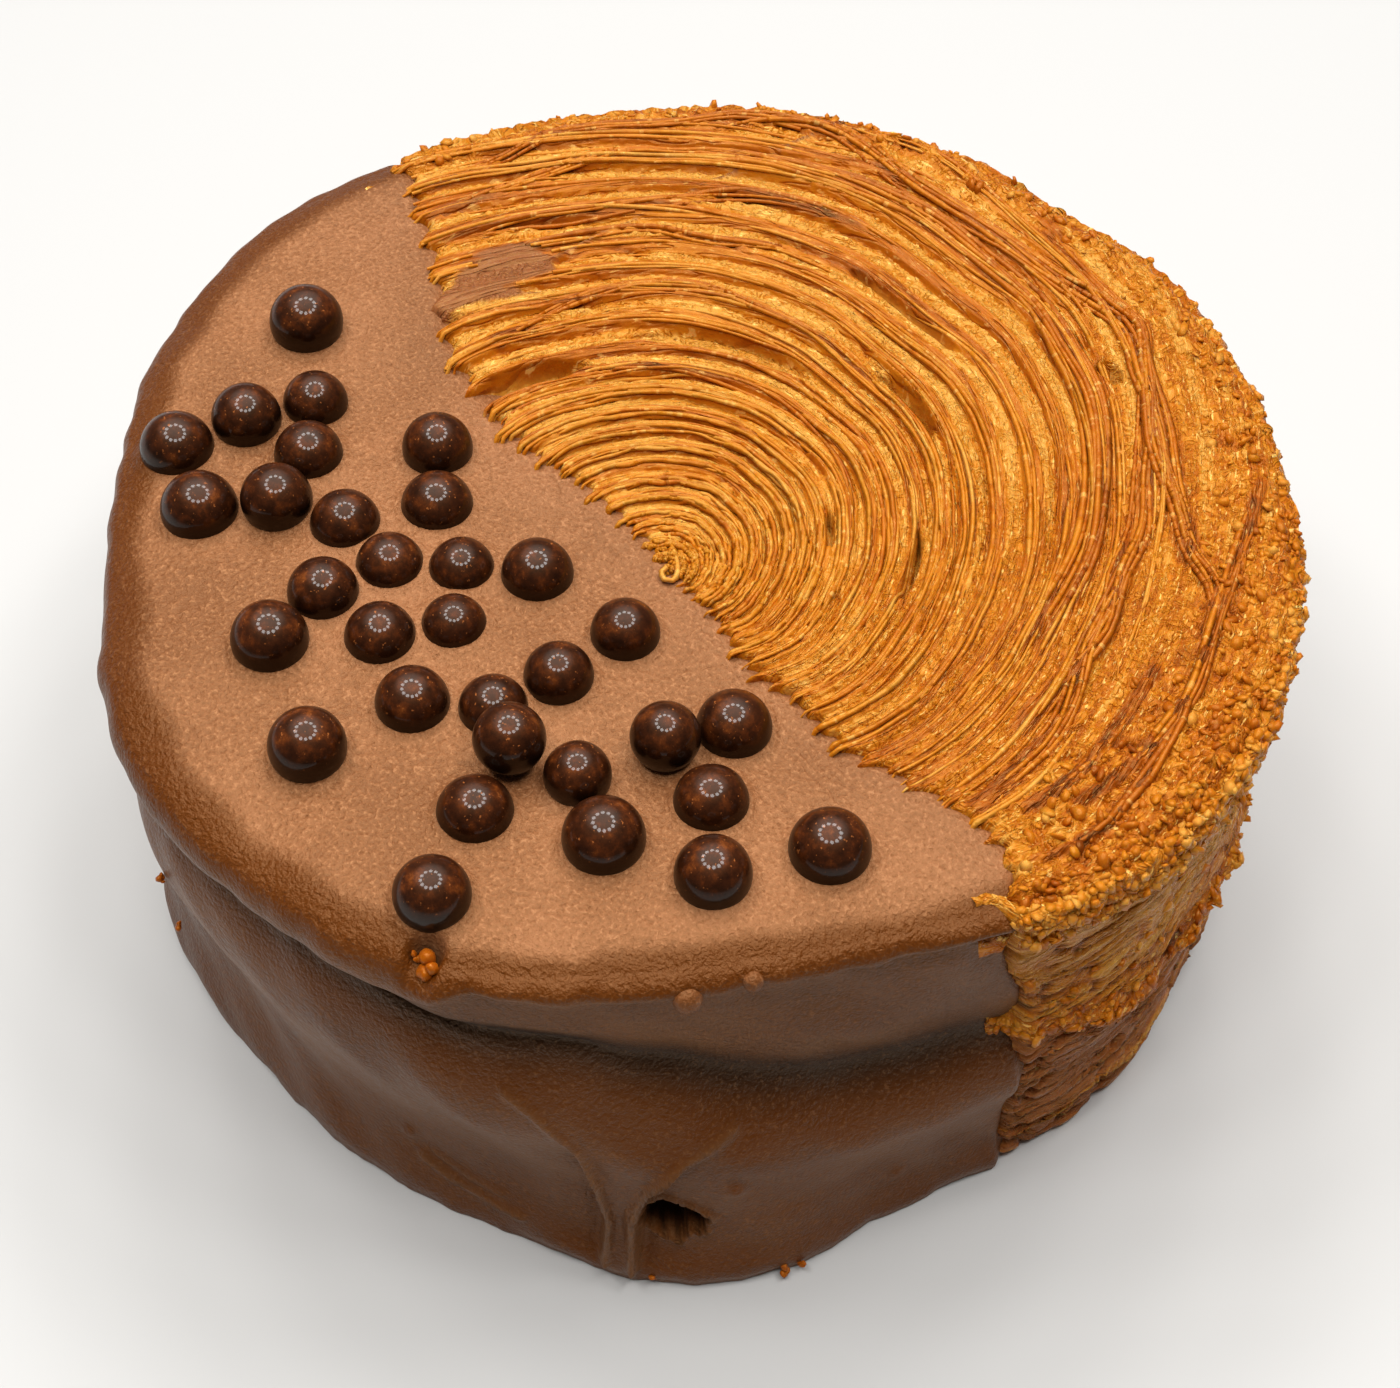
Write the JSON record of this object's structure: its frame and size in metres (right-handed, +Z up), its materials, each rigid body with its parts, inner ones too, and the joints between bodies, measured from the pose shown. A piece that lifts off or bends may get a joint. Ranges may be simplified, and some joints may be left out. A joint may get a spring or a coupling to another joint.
{
  "type": "new york roll",
  "caption": "Round laminated croissant roll standing on a flat face, half dipped in milk chocolate with round dark chocolate pearls set in the top.",
  "frame": {"origin": "middle of the box on the floor plane, under the roll", "axes": "+Z up along the roll's height, bare crust on +Y, chocolate half on -Y"},
  "size_m": [0.1084, 0.108, 0.0513],
  "materials": {
    "crust": "baked laminated crust, golden to brown, satin along the ridges",
    "milk_chocolate": "set milk chocolate, satin with a fine grain",
    "dark_pearl": "polished dark chocolate shell, soft gloss"
  },
  "bodies": {
    "root": {"pastry_roll": "crust", "chocolate_coat": "milk_chocolate", "pearl_01": "dark_pearl", "pearl_02": "dark_pearl", "pearl_03": "dark_pearl", "pearl_04": "dark_pearl", "pearl_05": "dark_pearl", "pearl_06": "dark_pearl", "pearl_07": "dark_pearl", "pearl_08": "dark_pearl", "pearl_09": "dark_pearl", "pearl_10": "dark_pearl", "pearl_11": "dark_pearl", "pearl_12": "dark_pearl", "pearl_13": "dark_pearl", "pearl_14": "dark_pearl", "pearl_15": "dark_pearl", "pearl_16": "dark_pearl", "pearl_17": "dark_pearl", "pearl_18": "dark_pearl", "pearl_19": "dark_pearl", "pearl_20": "dark_pearl", "pearl_21": "dark_pearl", "pearl_22": "dark_pearl", "pearl_23": "dark_pearl", "pearl_24": "dark_pearl", "pearl_25": "dark_pearl", "pearl_26": "dark_pearl", "pearl_27": "dark_pearl", "pearl_28": "dark_pearl", "pearl_29": "dark_pearl", "pearl_30": "dark_pearl", "pearl_31": "dark_pearl", "pearl_32": "dark_pearl"}
  },
  "joints": []
}
